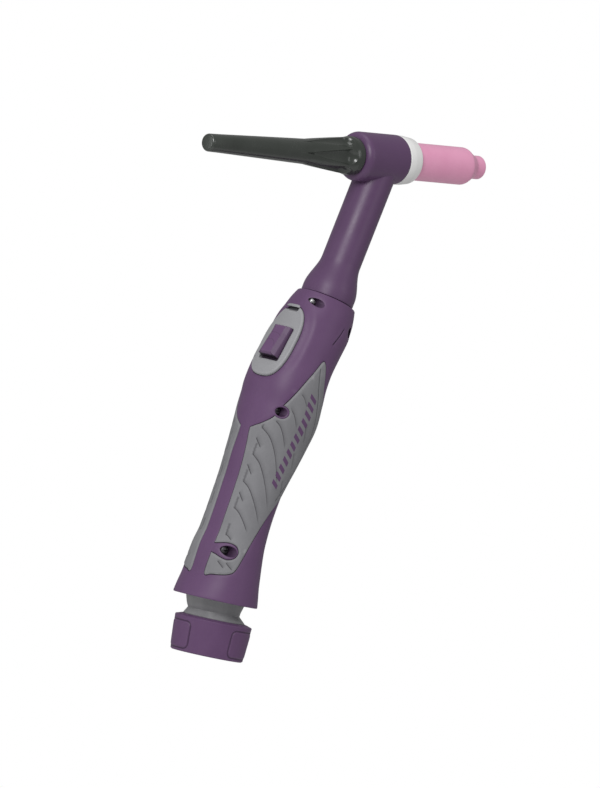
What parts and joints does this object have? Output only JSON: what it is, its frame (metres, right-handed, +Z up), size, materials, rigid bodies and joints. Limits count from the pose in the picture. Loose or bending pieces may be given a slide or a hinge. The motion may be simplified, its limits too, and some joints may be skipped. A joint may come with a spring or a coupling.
{
  "type": "tig torch",
  "caption": "Hand-held TIG welding torch with an angled head, long back cap, ceramic cup, split contoured handle, thumb switch and a swivelling cable outlet.",
  "frame": {"origin": "centre of the hand grip on the handle's rear axis, 85 mm above the cable collar's rear face", "axes": "+Z up the rear axis of the handle from the cable outlet to the head, +X from the trigger side towards the ceramic cup, y = 0 is the parting plane of the handle"},
  "size_m": [0.1917, 0.0418, 0.2658],
  "materials": {
    "purple_nylon": "fine spark-eroded moulded nylon, satin",
    "purple_silicone": "smooth overmoulded silicone rubber, satin",
    "button_purple": "satin moulded plastic with raised arcs",
    "grey_soft_grip": "matt soft-touch elastomer with sloping grooves",
    "bezel_grey": "matt moulded plastic",
    "knuckle_grey": "satin moulded plastic",
    "black_phenolic": "compression-moulded phenolic, semi-gloss",
    "pink_ceramic": "pressed and fired alumina ceramic, satin",
    "white_ptfe": "machined white insulator, satin",
    "brass": "machined",
    "copper": "machined copper",
    "steel": "zinc plated",
    "tungsten": "ground",
    "black_rubber": "moulded",
    "switch_black": "moulded"
  },
  "bodies": {
    "handle": {"handle_shell_right": "purple_nylon", "handle_shell_left": "purple_nylon", "grip_pad_right": "grey_soft_grip", "grip_pad_left": "grey_soft_grip", "switch_bezel": "bezel_grey", "switch_body": "switch_black", "button_spring": "steel", "torch_body_cover": "purple_silicone", "head_core": "brass", "neck_tube": "copper", "neck_clamp_ring": "brass", "power_cable_fitting": "brass", "collet_body": "copper", "collet": "copper", "case_screw_top": "steel", "case_screw_front": "steel", "case_screw_lower": "steel", "case_screw_back": "steel", "case_screw_belly": "steel"},
    "trigger": {"trigger_button": "button_purple", "switch_plunger": "switch_black"},
    "swivel_ring": {"swivel_slip_ring": "white_ptfe"},
    "swivel": {"swivel_knuckle": "knuckle_grey"},
    "collar_carrier": {"sheath_clamp_ring": "knuckle_grey"},
    "collar": {"rear_collar": "purple_nylon"},
    "cap_carrier": {"back_cap_o_ring": "black_rubber"},
    "cap": {"back_cap": "black_phenolic"},
    "cup_carrier": {"cup_gasket": "white_ptfe"},
    "cup": {"ceramic_cup": "pink_ceramic"},
    "electrode": {"tungsten_electrode": "tungsten"}
  },
  "joints": [
    {"name": "trigger_press", "type": "slide", "parent": "handle", "child": "trigger", "axis": [0.915, 0, -0.4035], "range_m": [0, 0.0016], "stiffness_N_per_m": 1500, "deforming": ["button_spring"]},
    {"name": "swivel_fore_aft", "type": "hinge", "parent": "handle", "child": "swivel_ring", "pos_m": [-0.0018, 0, -0.056], "axis": [0, 1, 0], "range_deg": [-15, 15]},
    {"name": "swivel_side", "type": "hinge", "parent": "swivel_ring", "child": "swivel", "pos_m": [-0.0018, 0, -0.056], "axis": [1, 0, 0], "range_deg": [-15, 15]},
    {"name": "collar_travel", "type": "slide", "parent": "swivel", "child": "collar_carrier", "axis": [0, 0, -1], "range_m": [0, 0.004]},
    {"name": "collar_unscrew", "type": "hinge", "parent": "collar_carrier", "child": "collar", "pos_m": [0, 0, -0.085], "axis": [0, 0, -1], "range_deg": [0, 720]},
    {"name": "cap_travel", "type": "slide", "parent": "handle", "child": "cap_carrier", "axis": [-0.9972, 0, -0.0742], "range_m": [0, 0.0051]},
    {"name": "cap_unscrew", "type": "hinge", "parent": "cap_carrier", "child": "cap", "pos_m": [0.02802, 0, 0.16598], "axis": [-0.9972, 0, -0.0742], "range_deg": [0, 1440]},
    {"name": "cup_travel", "type": "slide", "parent": "handle", "child": "cup_carrier", "axis": [0.9972, 0, 0.0742], "range_m": [0, 0.0039]},
    {"name": "cup_unscrew", "type": "hinge", "parent": "cup_carrier", "child": "cup", "pos_m": [0.06751, 0, 0.16891], "axis": [0.9972, 0, 0.0742], "range_deg": [0, 1080]},
    {"name": "electrode_stickout", "type": "slide", "parent": "handle", "child": "electrode", "axis": [0.9972, 0, 0.0742], "range_m": [-0.003, 0.011]}
  ],
  "couplings": [
    {"joint": "collar_travel", "follows": "collar_unscrew", "m_per_rad": 0.00031},
    {"joint": "cap_travel", "follows": "cap_unscrew", "m_per_rad": 0.0002},
    {"joint": "cup_travel", "follows": "cup_unscrew", "m_per_rad": 0.0002}
  ]
}
